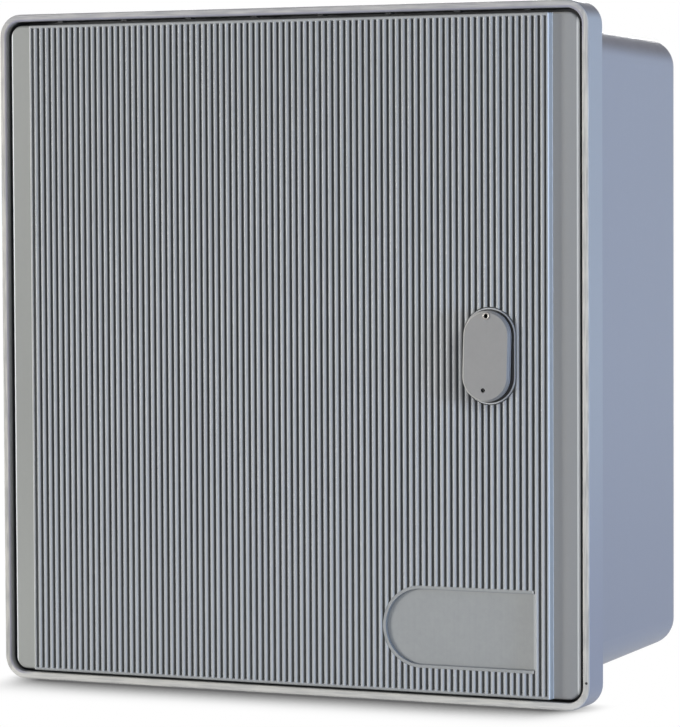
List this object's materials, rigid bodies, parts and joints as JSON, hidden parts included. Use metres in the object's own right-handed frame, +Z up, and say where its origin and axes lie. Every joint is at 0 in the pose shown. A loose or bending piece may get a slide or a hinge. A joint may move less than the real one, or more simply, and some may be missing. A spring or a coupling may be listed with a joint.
{
  "type": "electricity meter cabinet",
  "caption": "Wall-mounted grey moulded meter cabinet with a stepped collar, an inset hinged door with fine vertical ribs, a bare name plate and a cam lock under a swinging cover.",
  "frame": {"origin": "centre of the back face, on the wall, in the middle of the four fixing holes", "axes": "+Z up, the cabinet faces -Y, +Y points into the wall, +X is to the right seen from the front"},
  "size_m": [0.43, 0.2351, 0.455],
  "materials": {
    "moulded_box": "satin moulded grey, rim rubbed paler",
    "moulded_door": "satin moulded grey",
    "moulded_lock": "matt moulded grey, a little warmer",
    "board": "matt insulating board",
    "steel": "zinc-plated",
    "rivet": "bright rivet",
    "brass": "turned brass",
    "rubber": "black rubber"
  },
  "bodies": {
    "box": {"cabinet_box": "moulded_box", "meter_board": "board", "board_inserts": "brass", "board_screws": "steel", "cable_grommet_left": "rubber", "cable_grommet_right": "rubber", "upper_hinge_bracket": "steel", "lower_hinge_bracket": "steel", "upper_hinge_pin": "steel", "lower_hinge_pin": "steel", "hinge_screws": "steel", "lock_keeper": "steel", "keeper_screws": "steel"},
    "door": {"door_panel": "moulded_door", "door_gasket": "rubber", "lock_escutcheon": "moulded_lock", "escutcheon_screws": "steel", "cover_rivet": "rivet", "lock_barrel": "steel", "lock_nut": "steel"},
    "lock_cover": {"lock_cover": "moulded_lock"},
    "lock": {"lock_plug": "brass", "lock_cam": "steel", "cam_screw": "steel"}
  },
  "joints": [
    {"name": "door_swing", "type": "hinge", "parent": "box", "child": "door", "pos_m": [-0.2014, -0.2178, 0], "axis": [0, 0, -1], "range_deg": [0, 95]},
    {"name": "cover_swing", "type": "hinge", "parent": "door", "child": "lock_cover", "pos_m": [0.1484, -0.231, 0.026], "axis": [0, -1, 0], "range_deg": [-150, 150]},
    {"name": "lock_turn", "type": "hinge", "parent": "door", "child": "lock", "pos_m": [0.1484, -0.2, 0], "axis": [0, -1, 0], "range_deg": [0, 90]}
  ]
}
